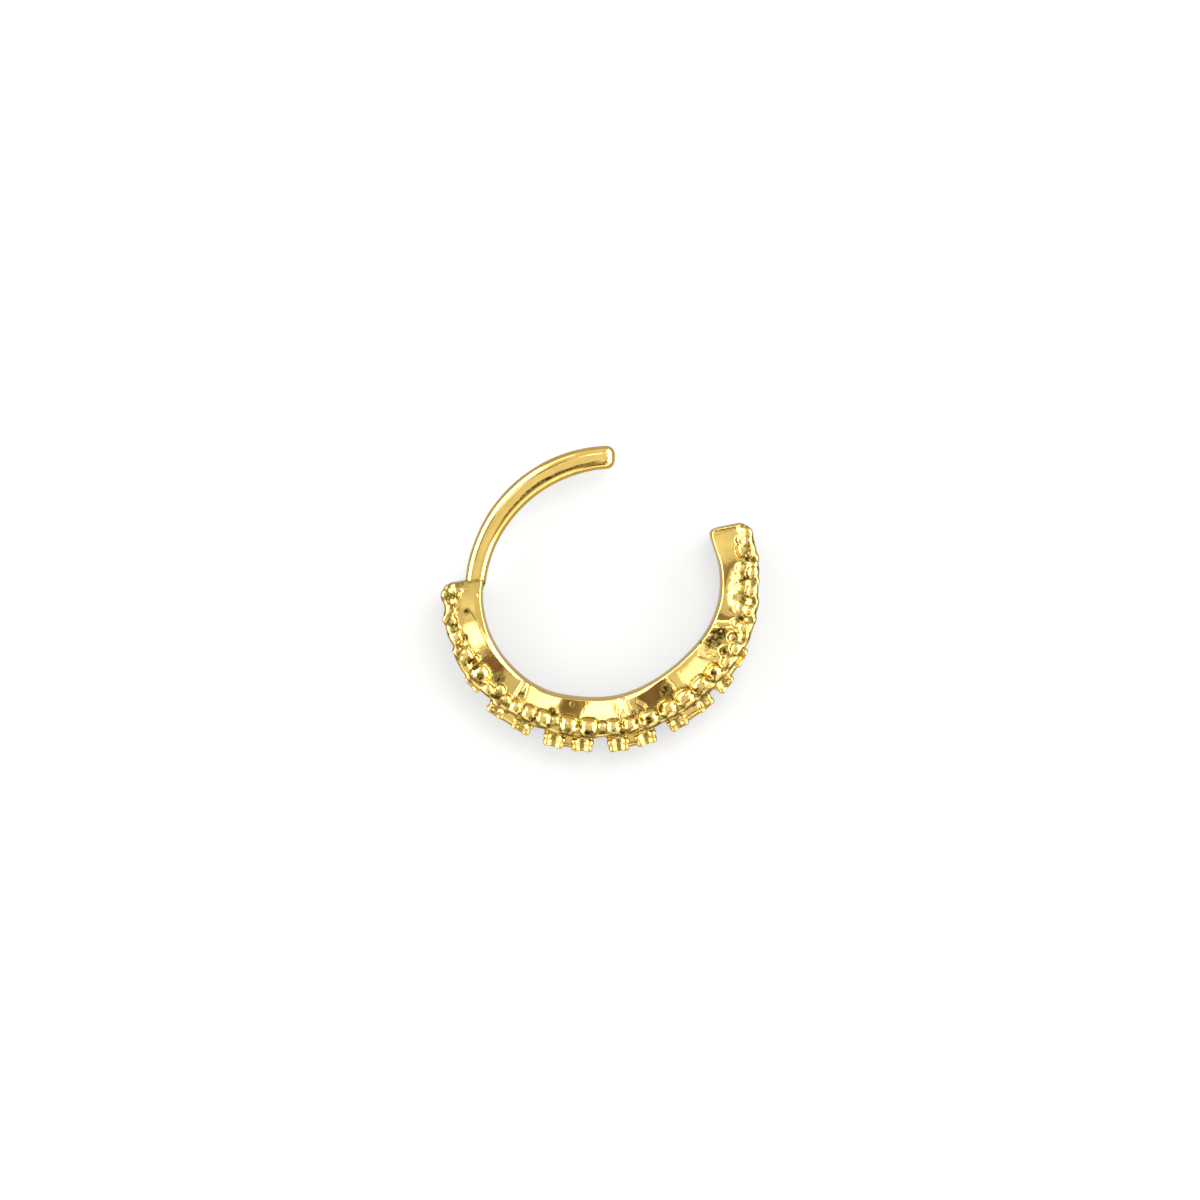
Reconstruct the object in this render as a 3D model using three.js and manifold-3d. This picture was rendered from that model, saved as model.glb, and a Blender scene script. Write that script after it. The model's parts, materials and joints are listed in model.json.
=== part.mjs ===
// An open ear cuff, cast in one piece: a crescent band with a row of granules along each of its two
// edges, nine pairs of square claw collets around its back, and a plain round wire arm.
// Millimetres. The cuff lies on its side: the axis of its ring is +Z, the origin is the middle of the
// plane it lies on, and the mouth that the ear enters is up and to the right, seen from above.
// Angles are degrees around the ring's centre, counterclockwise from +X.
import * as THREE from 'three';
import { mergeVertices } from 'three/addons/utils/BufferGeometryUtils.js';
import Module from 'manifold-3d';

// Driving dimensions
const WIDTH = 2.7; // over both granule rows, along the ring's axis
const RING_CENTRE = new THREE.Vector3(-0.148, 1.013, WIDTH / 2);

// The band's two flat ends: the direction that each face runs in, seen from above, and how far its
// plane passes from the ring's centre
const FIRST = { direction: 190.6, offset: -0.8 };
const LAST = { direction: 371, offset: 1 };
const BAND_STEPS = 36;
// Radii at angles around the ring: of the bore, of the granule rows and of the plain back
const BAND = table(['at', 'bore', 'row', 'back'], [
  [181, 4.66, 5.95, 6.38],
  [190, 4.85, 6.18, 6.5],
  [200, 4.99, 6.36, 6.66],
  [212, 5.13, 6.4, 6.78],
  [228, 5.24, 6.4, 6.84],
  [246, 5.3, 6.4, 6.86],
  [262, 5.2, 6.4, 6.82],
  [280, 5.17, 6.4, 6.8],
  [300, 5.07, 6.38, 6.78],
  [316, 5.08, 6.4, 6.82],
  [330, 5.2, 6.42, 6.84],
  [347, 5.28, 6.4, 6.82],
  [362, 5.21, 6.37, 6.78],
  [375, 5.08, 6.36, 6.76],
  [382, 5.18, 6.3, 6.74],
]);
// The band's section: share of the way out, 0 at the bore, 1 at the granule row and 2 at the back,
// and half the width there
const SECTION = table(['share', 'half'], [
  [0, 0.48],
  [0.1, 0.62],
  [0.65, 0.86],
  [0.9, 0.96],
  [1.2, 0.96],
  [1.6, 0.72],
  [2, 0.28],
]);
const PLATE_LENGTH = 0.34; // the flat plate that closes each end
const PLATE_PROUD = 0.04;

// Granules along each edge: where on the ring, and diameter
const GRANULES = table(['at', 'size'], [
  [187.3, 0.46], [192.3, 0.56], [197.4, 0.58], [203.9, 0.72], [211.8, 0.82], [220.3, 0.84],
  [228.2, 0.78], [233.5, 0.5], [238.2, 0.64], [243.9, 0.66], [249.9, 0.7], [254.4, 0.5],
  [259.5, 0.82], [267.0, 0.78], [272.4, 0.48], [276.7, 0.62], [282.8, 0.62], [290.9, 0.78],
  [298.6, 0.84], [306.3, 0.84], [314.2, 0.8], [321.0, 0.72], [327.3, 0.66], [333.2, 0.66],
  [340.4, 0.72], [347.3, 0.68], [354.5, 0.72], [361.7, 0.68], [369.0, 0.68], [375.0, 0.58],
]);

const GRANULE_SIDES = 8;

// Pairs of collets on the back: the middle of the pair, the angle from one collet to the other,
// and the radius that the rim of each reaches
const PAIRS = table(['at', 'apart', 'first', 'second'], [
  [192.0, 9.5, 6.62, 6.78],
  [215.9, 11.0, 6.94, 7.12],
  [238.4, 10.2, 7.34, 7.38],
  [260.5, 9.4, 7.5, 7.49],
  [282.2, 9.4, 7.52, 7.5],
  [304.2, 10.4, 7.4, 7.34],
  [324.8, 10.4, 7.35, 7.2],
  [347.0, 11.0, 7.09, 6.92],
  [371.2, 10.4, 6.88, 6.84],
]);
const COLLET_HALF = 0.36; // half the side of a collet's square, between its claws
const COLLET_ROOT = 6.3; // radius at which a collet starts, inside the band
const CLAW_PROUD = 0.05; // how far the claws stand out from the sides of the square
const CLAW_WIDTH = 0.2; // of a claw, where it meets a side of the square
const CUP_HALF = 0.22; // half the side of the shallow cup in the collet's face
const CUP_DEPTH = 0.14;
const WEB_HALF = 0.25; // half the thickness of the wall between the two collets of a pair
const WEB_DROP = 0.14; // how far that wall stays below the lower rim

// The arm: one arc of round wire from inside the first end of the band to a rounded tip
const ARM_CENTRE = new THREE.Vector2(0.755, -0.9); // from the ring's centre
const ARM_RADIUS = 5.9;
const ARM_FROM = 177; // angles around the arm's own centre
const ARM_TO = 94.4;
const ARM_SIDES = 12;
const ARM_STEPS = 20;
const WIRE = table(['share', 'radius'], [
  [0, 0.36],
  [0.06, 0.44],
  [0.23, 0.46],
  [0.42, 0.5],
  [0.75, 0.52],
  [1, 0.5],
]);

const GOLD = new THREE.MeshStandardMaterial({ color: 0xd9a93c, roughness: 0.14, metalness: 1 });

// Where the middle of each end lies on the ring
const MIDDLE_RADIUS = 5.95;
const FIRST_MIDDLE = endAngle(FIRST, MIDDLE_RADIUS);
const LAST_MIDDLE = endAngle(LAST, MIDDLE_RADIUS);

const wasm = await Module();
wasm.setup();

function table(names, rows) {
  return rows.map((row) => Object.fromEntries(names.map((name, i) => [name, row[i]])));
}

// The value of a column between the rows of a table: a cubic that passes through the rows.
function smooth(rows, key, where, column) {
  let i = 0;
  while (i < rows.length - 2 && where > rows[i + 1][key]) i += 1;
  const slope = (k) => {
    const before = rows[Math.max(k - 1, 0)];
    const after = rows[Math.min(k + 1, rows.length - 1)];
    return (after[column] - before[column]) / (after[key] - before[key]);
  };
  const step = rows[i + 1][key] - rows[i][key];
  const t = (where - rows[i][key]) / step;
  const start = rows[i][column] * (1 + 2 * t) * (1 - t) ** 2 + slope(i) * step * t * (1 - t) ** 2;
  const end = rows[i + 1][column] * (3 - 2 * t) * t ** 2 + slope(i + 1) * step * (t - 1) * t ** 2;
  return start + end;
}

// A closed geometry as a solid that can be joined and cut.
function solid(geometry) {
  const bare = geometry.clone();
  bare.deleteAttribute('normal');
  bare.deleteAttribute('uv');
  const merged = mergeVertices(bare, 1e-5);
  return new wasm.Manifold(
    new wasm.Mesh({
      numProp: 3,
      vertProperties: new Float32Array(merged.attributes.position.array),
      triVerts: new Uint32Array(merged.index.array),
    }),
  );
}

function geometryOf(body) {
  const mesh = body.getMesh();
  const geometry = new THREE.BufferGeometry();
  geometry.setAttribute('position', new THREE.BufferAttribute(mesh.vertProperties, 3));
  geometry.setIndex(new THREE.BufferAttribute(mesh.triVerts, 1));
  geometry.computeVertexNormals();
  return geometry;
}

// Moves a shape made with x outwards, y along the ring and z along its axis to its place on the ring.
function onRing(geometry, angle, radius, z = 0) {
  return geometry.translate(radius, 0, z).rotateZ(THREE.MathUtils.degToRad(angle));
}

// The angle at which an end's plane crosses a radius.
function endAngle({ direction, offset }, radius) {
  return direction + THREE.MathUtils.radToDeg(Math.asin(offset / radius));
}

// How far out the band's section reaches, at an angle around the ring.
function bandRadius(angle, share) {
  const row = smooth(BAND, 'at', angle, 'row');
  const end = smooth(BAND, 'at', angle, share < 1 ? 'bore' : 'back');
  return THREE.MathUtils.lerp(row, end, Math.abs(share - 1));
}

// The band's section carried from one share of its length to another. It is extruded straight, then
// each point goes to its place on the ring; proud moves the outline out on every side.
function bandPiece(fromShare, toShare, steps, proud) {
  const outline = SECTION.map((row) => new THREE.Vector2(row.share, row.half));
  const mirrored = SECTION.map((row) => new THREE.Vector2(row.share, -row.half)).reverse();
  const shape = new THREE.Shape([...outline, ...mirrored]);
  const straight = new THREE.ExtrudeGeometry(shape, { depth: 1, steps, bevelEnabled: false });
  const points = straight.attributes.position;
  for (let i = 0; i < points.count; i += 1) {
    const share = points.getX(i);
    const along = THREE.MathUtils.lerp(fromShare, toShare, points.getZ(i));
    const middle = THREE.MathUtils.lerp(FIRST_MIDDLE, LAST_MIDDLE, along);
    const radius = bandRadius(middle, share) + proud * (share - 1);
    const angle = THREE.MathUtils.lerp(endAngle(FIRST, radius), endAngle(LAST, radius), along);
    const turn = THREE.MathUtils.degToRad(angle);
    const side = -Math.sign(points.getY(i));
    const z = side * (Math.abs(points.getY(i)) + proud);
    points.setXYZ(i, radius * Math.cos(turn), radius * Math.sin(turn), z);
  }
  return solid(straight);
}

function band() {
  const length = MIDDLE_RADIUS * THREE.MathUtils.degToRad(LAST_MIDDLE - FIRST_MIDDLE);
  const plateShare = PLATE_LENGTH / length;
  const firstPlate = bandPiece(0, plateShare, 1, PLATE_PROUD);
  const lastPlate = bandPiece(1 - plateShare, 1, 1, PLATE_PROUD);
  const plain = bandPiece(plateShare / 2, 1 - plateShare / 2, BAND_STEPS, 0);
  return [plain, firstPlate, lastPlate];
}

function granule({ at, size }, side) {
  const radius = size / 2;
  const z = side * (WIDTH / 2 - radius);
  const ball = new THREE.SphereGeometry(radius, GRANULE_SIDES, GRANULE_SIDES / 2);
  return solid(onRing(ball.rotateX(Math.PI / 2), at, bandRadius(at, 1), z));
}

function granules() {
  return GRANULES.flatMap((row) => [granule(row, 1), granule(row, -1)]);
}

// A straight-sided piece that stands on the ring: an outline, x across the band and y along it,
// extruded outwards from one radius to another.
function post(corners, angle, from, to) {
  const shape = new THREE.Shape(corners.map(([across, along]) => new THREE.Vector2(across, along)));
  const geometry = new THREE.ExtrudeGeometry(shape, { depth: to - from, bevelEnabled: false });
  return solid(onRing(geometry.rotateY(Math.PI / 2), angle, from));
}

// The outline of one quarter, turned four times around the middle.
function fourTimes(quarter) {
  const turn = ([x, y], times) => (times === 0 ? [x, y] : turn([-y, x], times - 1));
  return [0, 1, 2, 3].flatMap((times) => quarter.map((corner) => turn(corner, times)));
}

function rectangle(halfAcross, halfAlong) {
  return [
    [halfAcross, -halfAlong],
    [halfAcross, halfAlong],
    [-halfAcross, halfAlong],
    [-halfAcross, -halfAlong],
  ];
}

// A square block with a claw down each corner and a shallow cup in its face.
function collet(angle, rim) {
  const claw = COLLET_HALF + CLAW_PROUD;
  const inner = COLLET_HALF - CLAW_WIDTH;
  const outline = fourTimes([
    [COLLET_HALF, inner],
    [claw, inner + CLAW_PROUD],
    [claw, COLLET_HALF],
    [COLLET_HALF, claw],
    [inner + CLAW_PROUD, claw],
    [inner, COLLET_HALF],
  ]);
  const block = post(outline, angle, COLLET_ROOT, rim);
  const cup = post(rectangle(CUP_HALF, CUP_HALF), angle, rim - CUP_DEPTH, rim + CUP_DEPTH);
  return block.subtract(cup);
}

function pair({ at, apart, first, second }) {
  const top = Math.max(Math.min(first, second) - WEB_DROP, COLLET_ROOT + WEB_DROP);
  const halfLong = COLLET_ROOT * Math.sin(THREE.MathUtils.degToRad(apart / 2));
  return [
    collet(at - apart / 2, first),
    collet(at + apart / 2, second),
    post(rectangle(WEB_HALF, halfLong), at, COLLET_ROOT, top),
  ];
}

class ArmLine extends THREE.Curve {
  getPoint(t, target = new THREE.Vector3()) {
    const turn = THREE.MathUtils.degToRad(THREE.MathUtils.lerp(ARM_FROM, ARM_TO, t));
    const x = ARM_CENTRE.x + ARM_RADIUS * Math.cos(turn);
    const y = ARM_CENTRE.y + ARM_RADIUS * Math.sin(turn);
    return target.set(x, y, 0);
  }
}

// Round wire along the arm's arc, as thick at each point as its table says, with a ball for a tip.
function arm() {
  const line = new ArmLine();
  const round = new THREE.Shape().absarc(0, 0, 1, 0, 2 * Math.PI);
  const options = { steps: ARM_STEPS, curveSegments: ARM_SIDES / 2, extrudePath: line };
  const wire = new THREE.ExtrudeGeometry(round, options);
  const points = wire.attributes.position;
  const point = new THREE.Vector3();
  for (let i = 0; i < points.count; i += 1) {
    point.fromBufferAttribute(points, i);
    const turn = Math.atan2(point.y - ARM_CENTRE.y, point.x - ARM_CENTRE.x);
    const angle = (THREE.MathUtils.radToDeg(turn) + 360) % 360;
    const share = THREE.MathUtils.clamp((angle - ARM_FROM) / (ARM_TO - ARM_FROM), 0, 1);
    const middle = line.getPoint(share);
    point.sub(middle).multiplyScalar(smooth(WIRE, 'share', share, 'radius')).add(middle);
    points.setXYZ(i, point.x, point.y, point.z);
  }
  const end = line.getPoint(1);
  const tip = new THREE.SphereGeometry(WIRE.at(-1).radius, ARM_SIDES, ARM_SIDES / 2);
  return [solid(wire), solid(tip.translate(end.x, end.y, end.z))];
}

function cuff() {
  const pieces = [...band(), ...granules(), ...PAIRS.flatMap(pair), ...arm()];
  const joined = pieces.reduce((whole, piece) => whole.add(piece));
  const mesh = new THREE.Mesh(geometryOf(joined), GOLD);
  mesh.name = 'cuff';
  mesh.position.copy(RING_CENTRE);
  return mesh;
}

const earCuff = new THREE.Group();
earCuff.add(cuff());

export default earCuff;
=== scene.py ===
import json
import math

import bpy
import numpy as np
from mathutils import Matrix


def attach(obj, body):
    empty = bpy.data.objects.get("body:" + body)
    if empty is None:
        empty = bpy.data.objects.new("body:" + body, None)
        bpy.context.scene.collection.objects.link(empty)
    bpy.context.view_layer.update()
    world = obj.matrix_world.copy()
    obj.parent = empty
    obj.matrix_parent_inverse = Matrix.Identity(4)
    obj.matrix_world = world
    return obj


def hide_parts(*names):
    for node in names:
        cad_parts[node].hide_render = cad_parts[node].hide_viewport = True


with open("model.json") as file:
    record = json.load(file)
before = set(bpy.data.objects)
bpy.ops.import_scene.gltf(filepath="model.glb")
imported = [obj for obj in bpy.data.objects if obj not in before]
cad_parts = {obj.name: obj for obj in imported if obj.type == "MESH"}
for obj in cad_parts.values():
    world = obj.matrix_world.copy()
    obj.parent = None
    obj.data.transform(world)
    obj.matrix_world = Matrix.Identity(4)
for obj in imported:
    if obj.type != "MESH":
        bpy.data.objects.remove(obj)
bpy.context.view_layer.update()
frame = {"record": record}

MM = 0.001

# ---------------------------------------------------------------- dimensions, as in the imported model
WIDTH = 2.7
# Planes of the band's two ends: the direction each runs in and how far it passes from the ring's centre
FIRST = (190.6, -0.8)
LAST = (371.0, 1.0)
MIDDLE_RADIUS = 5.95
# Radii around the ring: angle, bore, granule row, plain back
BAND = np.array([
    (181, 4.66, 5.95, 6.24), (190, 4.85, 6.18, 6.36), (200, 4.99, 6.36, 6.52), (212, 5.13, 6.40, 6.68),
    (228, 5.24, 6.40, 6.84), (246, 5.30, 6.40, 6.86), (262, 5.20, 6.40, 6.82), (280, 5.17, 6.40, 6.80),
    (300, 5.07, 6.38, 6.78), (316, 5.08, 6.40, 6.82), (330, 5.20, 6.42, 6.76), (347, 5.28, 6.40, 6.66),
    (362, 5.21, 6.37, 6.60), (375, 5.08, 6.36, 6.56), (382, 5.18, 6.30, 6.52),
])
# Granules and small lumps of each row: angle, radius around the ring, diameter
GRANULES = np.array([
    (186.7, 6.40, 0.32), (187.4, 6.12, 0.26), (187.9, 5.88, 0.17), (192.9, 6.25, 0.54), (196.0, 6.58, 0.28),
    (197.4, 6.34, 0.42), (203.8, 6.41, 0.62), (208.5, 6.68, 0.30), (211.3, 6.42, 0.68), (214.4, 6.14, 0.24),
    (218.6, 6.82, 0.26), (220.3, 6.37, 0.80), (226.4, 6.58, 0.44), (229.9, 6.24, 0.42), (231.8, 6.78, 0.28),
    (234.0, 6.44, 0.44), (238.6, 6.48, 0.60), (243.9, 6.42, 0.66), (249.6, 6.40, 0.70), (254.0, 6.34, 0.48),
    (259.5, 6.40, 0.82), (267.2, 6.40, 0.78), (272.4, 6.37, 0.46), (276.6, 6.40, 0.62), (283.0, 6.42, 0.60),
    (290.7, 6.42, 0.78), (298.7, 6.36, 0.82), (306.2, 6.38, 0.82), (313.9, 6.40, 0.80), (320.8, 6.42, 0.70),
    (326.9, 6.60, 0.46), (329.5, 6.28, 0.40), (332.7, 6.62, 0.50), (335.8, 6.32, 0.38), (338.2, 6.72, 0.34),
    (340.8, 6.54, 0.46), (341.2, 6.20, 0.32), (344.6, 6.84, 0.28), (347.1, 6.58, 0.48), (347.8, 6.22, 0.42),
    (351.0, 6.78, 0.26), (354.5, 6.58, 0.54), (355.2, 6.18, 0.38), (358.2, 6.74, 0.26), (359.4, 6.12, 0.24),
    (361.2, 6.58, 0.48), (363.2, 6.15, 0.38), (366.6, 6.76, 0.28), (367.8, 6.50, 0.42), (370.2, 6.28, 0.56),
    (373.2, 6.52, 0.42), (374.2, 6.24, 0.28), (376.2, 6.66, 0.36),
])
# Pairs of collets: angle of the middle, angle between the two, radius of each one's rim, how far below it
# the wall between them stops, half that wall's width, how far the claws have melted into it
PAIRS = np.array([
    (192.0, 9.5, 6.53, 6.68, 0.10, 0.35, 1.0), (215.9, 11.0, 6.90, 7.14, 0.06, 0.52, 0.7),
    (238.7, 10.2, 7.36, 7.40, 0.01, 0.60, 0.5), (260.5, 9.6, 7.50, 7.49, 0.06, 0.45, 0.0),
    (282.3, 9.4, 7.52, 7.50, 0.05, 0.45, 0.0), (304.6, 11.0, 7.42, 7.36, 0.01, 0.60, 0.35),
    (325.2, 10.4, 7.35, 7.22, 0.04, 0.56, 0.2), (347.0, 11.0, 7.00, 6.86, 0.06, 0.52, 0.8),
    (371.2, 10.4, 6.80, 6.72, 0.10, 0.35, 1.0),
])
ARM_CENTRE = (0.755, -0.9)
ARM_RADIUS = 5.9
ARM_FROM = 177.0
ARM_TO = 94.4
# Radius of the arm's wire: share of its length, radius
WIRE = np.array([(0, 0.36), (0.06, 0.44), (0.23, 0.46), (0.42, 0.50), (0.75, 0.52), (1, 0.50)])

# ---------------------------------------------------------------- finer shape of the casting
# The lip along the bore's edge: angle, width, tilt in degrees
LIP = np.array([
    (181, 0.30, 13), (200, 0.36, 13), (209, 0.24, 16), (212, 0.26, 36), (233, 0.20, 37), (237, 0.07, 36),
    (250, 0.06, 36), (262, 0.12, 30), (279, 0.06, 36), (283, 0.30, 37), (292, 0.22, 37), (301, 0.09, 36),
    (305, 0.24, 14), (316, 0.28, 13), (323, 0.22, 15), (327, 0.08, 36), (350, 0.10, 37), (367, 0.06, 36),
    (371, 0.15, 15), (382, 0.15, 13),
])
# Outer radius of the rolled edge beside the granules: angle, radius
EDGE = np.array([
    (181, 6.42), (184, 6.46), (187.2, 6.56), (191.3, 6.52), (195.2, 6.68), (206, 6.72), (210, 6.88),
    (218, 6.94), (227, 6.86), (246, 6.86), (262, 6.84), (280, 6.82), (300, 6.80), (316, 6.84), (326, 6.92),
    (336, 6.98), (342, 6.99), (348, 6.94), (353, 6.90), (359, 6.80), (363, 6.84), (367, 6.88), (371, 6.82),
    (376, 6.80), (382, 6.70),
])
# How softly the granules run into the wall: angle, reach of the fillet
FILLET = np.array([(181, 0.05), (200, 0.03), (300, 0.03), (325, 0.05), (345, 0.09), (372, 0.09), (382, 0.06)])
BACK_FILLET = 0.14
# Grooves (depth over 0) and ridges (under 0) across the wall: angle and radius of each point, depth,
# width, darkness. The darkness is painted shade along each line; lines of depth 0 are painted dark lines
# only.
GROOVES = [
    ([(184.9, 5.45), (184.5, 5.9), (184.0, 6.4)], 0.006, 0.025, 0.8),
    ([(378.6, 5.3), (378.8, 6.1)], 0.004, 0.04, 0.35),
    ([(235.3, 5.38), (235.5, 5.8), (235.8, 6.2)], 0.05, 0.035, 0.8),
    ([(236.9, 5.45), (236.8, 5.8), (237.1, 6.1)], -0.035, 0.05, 0),
    ([(238.2, 5.36), (239.6, 5.75), (240.2, 6.15)], 0.03, 0.035, 0.5),
    ([(279.5, 5.25), (280.0, 5.6), (279.0, 6.05)], 0.04, 0.03, 0.8),
    ([(280.9, 5.25), (281.1, 6.1)], -0.03, 0.04, 0),
    ([(282.2, 5.4), (282.9, 6.0)], 0.045, 0.035, 0.6),
    ([(283.3, 5.5), (284.8, 6.1)], -0.025, 0.035, 0),
    ([(285.2, 5.55), (286.8, 5.95)], 0.03, 0.025, 0.6),
    ([(288.2, 5.6), (290.4, 5.8), (290.9, 6.05)], -0.02, 0.04, 0),
    ([(304.0, 5.35), (304.9, 5.65), (304.4, 6.0)], 0.012, 0.03, 0),
    ([(194.8, 5.6), (197.5, 5.44), (203.5, 5.38), (209.5, 5.41), (213.0, 5.46)], 0, 0.05, 0.85),
    ([(213.0, 5.46), (221.0, 5.45), (229.5, 5.47)], 0, 0.04, 0.7),
    ([(311.5, 5.4), (322.0, 5.4)], 0.004, 0.025, 0.6),
    ([(322.2, 5.5), (323.6, 5.8), (325.8, 6.1)], -0.02, 0.04, 0),
    ([(328.6, 5.35), (328.9, 6.0)], 0.03, 0.035, 0.6),
    ([(335.9, 5.4), (337.0, 5.7), (336.2, 6.15)], -0.03, 0.09, 0),
    ([(337.6, 5.4), (338.6, 5.8), (340.0, 6.1)], 0.03, 0.04, 0.7),
    ([(338.9, 5.45), (340.0, 5.75), (341.4, 6.1)], -0.03, 0.05, 0),
    ([(331.0, 5.3), (332.5, 5.5), (333.5, 5.95)], -0.03, 0.05, 0),
    ([(350.0, 6.10), (360.0, 6.12)], -0.065, 0.32, 0),
]
# Rippled patches of the wall: angle, radius, half length, half width, strength
RIPPLES = [(354.0, 5.86, 0.60, 0.26, 1.6), (325.5, 5.75, 0.3, 0.25, 1.2), (338.5, 5.7, 0.25, 0.25, 1.0)]
# How dark the bore's edge is painted, painted shade that dims its highlights: angle, darkness
EDGE_TONE = np.array([
    (181, 0.5), (207, 0.5), (212, 0), (234, 0), (239, 0.6), (279, 0.6), (283, 0), (301, 0), (304, 0.5),
    (323, 0.5), (327, 0), (366, 0), (370, 0.55), (382, 0.55),
])
# Small beads and pits of the casting: angle, radius, diameter, how far each stands out of the wall
BLEMISHES = np.array([
    (186.2, 5.72, 0.16, 0.02), (189.2, 5.02, 0.14, -0.03), (327.4, 5.25, 0.1, -0.04),
    (348.6, 5.98, 0.2, 0.02),
])
# Dark patches painted on the casting, painted shade where granules meet the wall and each other and dark
# reflections on the wall: angle, radius, half width
SHADE_PATCHES = np.array([
    (187.4, 6.10, 0.10), (192.1, 6.16, 0.09), (195.4, 5.65, 0.10), (199.3, 6.30, 0.12), (205.0, 6.13, 0.14),
    (207.5, 6.43, 0.10), (214.3, 6.36, 0.14), (220.9, 6.45, 0.12), (226.4, 5.98, 0.15), (229.7, 6.58, 0.14),
    (231.5, 6.55, 0.08), (237.4, 5.90, 0.10), (246.2, 6.52, 0.10), (252.1, 6.01, 0.13), (252.5, 6.60, 0.09),
    (259.3, 6.62, 0.11), (259.6, 5.52, 0.07), (266.7, 6.60, 0.10), (279.6, 6.66, 0.11), (285.4, 6.02, 0.10),
    (289.9, 6.44, 0.14), (296.3, 6.15, 0.12), (300.0, 5.70, 0.10), (302.1, 5.60, 0.14), (311.6, 6.42, 0.09),
    (320.7, 6.36, 0.11), (327.6, 7.15, 0.10), (327.5, 5.24, 0.06), (329.5, 5.60, 0.16), (329.3, 6.25, 0.13),
    (333.4, 5.62, 0.20), (335.2, 5.78, 0.22), (337.4, 6.43, 0.12), (344.2, 6.37, 0.13), (351.6, 6.34, 0.12),
    (359.4, 6.33, 0.11), (367.2, 6.35, 0.11),
])


def smooth(rows, where, column=1):
    """A cubic through the rows of a table, whose slope at each row is that of the line between its
    neighbours."""
    knots, values = rows[:, 0], rows[:, column]
    slopes = np.empty(len(knots))
    slopes[1:-1] = (values[2:] - values[:-2]) / (knots[2:] - knots[:-2])
    slopes[0] = (values[1] - values[0]) / (knots[1] - knots[0])
    slopes[-1] = (values[-1] - values[-2]) / (knots[-1] - knots[-2])
    i = np.clip(np.searchsorted(knots, where) - 1, 0, len(knots) - 2)
    step = knots[i + 1] - knots[i]
    t = (where - knots[i]) / step
    start = values[i] * (1 + 2 * t) * (1 - t) ** 2 + slopes[i] * step * t * (1 - t) ** 2
    end = values[i + 1] * (3 - 2 * t) * t**2 + slopes[i + 1] * step * (t - 1) * t**2
    return start + end


def soft_min(a, b, reach):
    """The lesser of two distances, rounded off where they differ by less than reach."""
    h = np.clip(0.5 + 0.5 * (b - a) / reach, 0, 1)
    return b * (1 - h) + a * h - reach * h * (1 - h)


def soft_max(a, b, reach):
    """The greater of two distances, rounded off where they differ by less than reach."""
    return -soft_min(-a, -b, reach)


def bump(x, width):
    """A bell curve, 1 at zero."""
    return np.exp(-((x / width) ** 2))


# The casting's small lumps: how far they stand out, and the direction (radians per millimetre) and phase
# of each of the waves that make them
LUMP = 0.013
LUMP_WAVES = [((9.1, 5.2, 4.3), 0.4), ((-4.7, 8.3, 6.1), 1.7), ((5.9, -6.7, 7.7), 3.1)]


def lumps(point):
    """Low uneven lumps over a few tenths of a millimetre: LUMP times the mean of the sines of LUMP_WAVES."""
    total = 0
    for along, phase in LUMP_WAVES:
        total = total + np.sin(point @ np.array(along) + phase) / len(LUMP_WAVES)
    return LUMP * total


def end_angle(end, radius):
    """Angle at which an end's plane crosses a radius: its direction plus the arcsine of its offset over
    the radius."""
    direction, offset = end
    return direction + np.degrees(np.arcsin(offset / radius))


def band_angle(along, radius):
    """Angle of a point of the band: the share along of the way from one end's plane to the other's."""
    return end_angle(FIRST, radius) * (1 - along) + end_angle(LAST, radius) * along


def on_ring(angle, radius, z):
    """Cylinder coordinates around the ring's axis as points."""
    turn = np.radians(angle)
    return np.stack([radius * np.cos(turn), radius * np.sin(turn), z + 0 * radius], axis=-1)


# ---------------------------------------------------------------- meshes
# The ring's centre, found from the mount on the band's free end
free_end = next(m for m in frame["record"]["mounts"] if m["name"] == "gap_end_face")
free_turn = math.radians(end_angle(LAST, MIDDLE_RADIUS))
RING_CENTRE = np.array(free_end["pos_m"]) - MIDDLE_RADIUS * MM * np.array(
    [math.cos(free_turn), math.sin(free_turn), 0])


def tubes(name, rings, attributes=None):
    """A mesh of closed shells. rings is an array (shell, station, point around, 3) in millimetres around
    the ring's centre: quads join each station to the next, and a fan to their mean closes each end."""
    shells, stations, around, _ = rings.shape
    poles = rings[:, [0, -1]].mean(axis=2)
    points = np.concatenate([rings.reshape(shells, -1, 3), poles], axis=1).reshape(-1, 3)
    per_shell = stations * around + 2
    first = np.arange(shells)[:, None] * per_shell
    a = np.arange(stations - 1)[:, None] * around + np.arange(around)
    b = np.arange(stations - 1)[:, None] * around + (np.arange(around) + 1) % around
    quads = np.stack([a, b, b + around, a + around], axis=-1).reshape(1, -1, 4) + first[:, :, None]
    rim = np.arange(around)
    after = (rim + 1) % around
    last = (stations - 1) * around
    start_fan = np.stack([after, rim, np.full(around, per_shell - 2)], axis=-1)
    end_fan = np.stack([last + rim, last + after, np.full(around, per_shell - 1)], axis=-1)
    fans = np.concatenate([start_fan, end_fan])[None] + first[:, :, None]
    faces = quads.reshape(-1, 4).tolist() + fans.reshape(-1, 3).tolist()
    mesh = bpy.data.meshes.new(name)
    mesh.from_pydata((RING_CENTRE + points * MM).tolist(), [], faces)
    mesh.polygons.foreach_set("use_smooth", np.ones(len(faces), bool))
    for key, values in (attributes or {}).items():
        ends = values[:, [0, -1]].mean(axis=2)
        column = np.concatenate([values.reshape(shells, -1), ends], axis=1).ravel()
        mesh.attributes.new(key, "FLOAT", "POINT").data.foreach_set("value", column.astype(np.float32))
    mesh.update()
    piece = bpy.data.objects.new(name, mesh)
    bpy.context.scene.collection.objects.link(piece)
    return piece


# ---------------------------------------------------------------- the band and its granules
CORE_DEPTH = 0.34  # how far inside the granule row the middle of each section's rays lies
END_ROUND = 0.09  # radius of the edges of the two end faces
END_CORNER = 0.24  # radius of their corners
STATIONS = 560
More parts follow.
